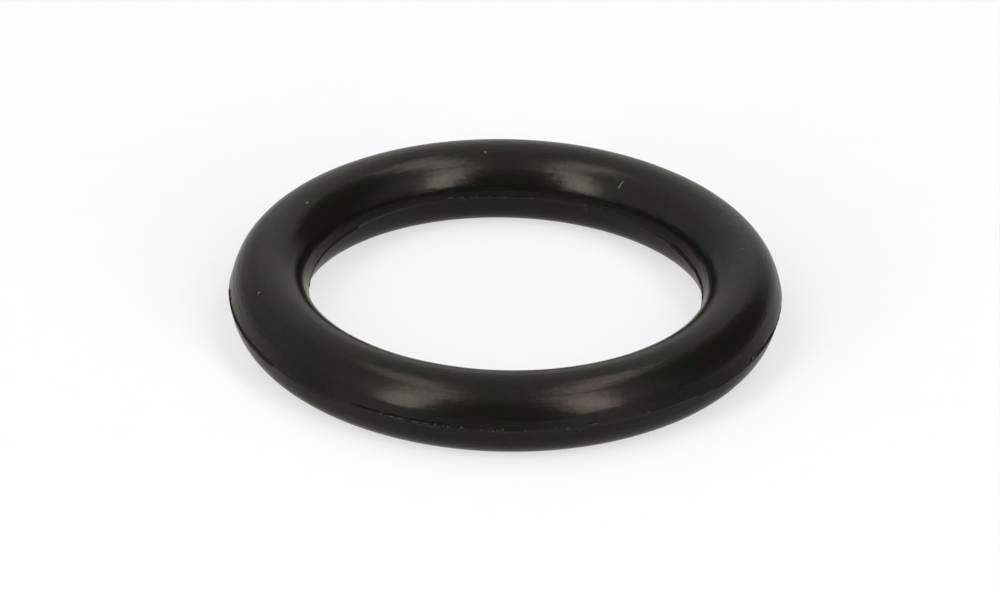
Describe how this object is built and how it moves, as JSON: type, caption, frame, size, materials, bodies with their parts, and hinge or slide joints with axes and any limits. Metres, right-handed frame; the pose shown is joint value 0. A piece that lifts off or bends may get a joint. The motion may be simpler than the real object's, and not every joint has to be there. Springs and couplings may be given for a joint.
{
  "type": "o-ring",
  "caption": "Round-section rubber o-ring with a trimmed moulding flash round its inside and outside.",
  "frame": {"origin": "centre of the ring, on the plane where the mould halves met, at mid-height", "axes": "+Z along the ring's axis; the ring lies flat on its lower side; the upper half is shifted slightly along +X"},
  "size_m": [0.021, 0.021, 0.003],
  "materials": {
    "rubber": "smooth satin black rubber with fine dust"
  },
  "bodies": {
    "root": {"o_ring": "rubber"}
  },
  "joints": []
}
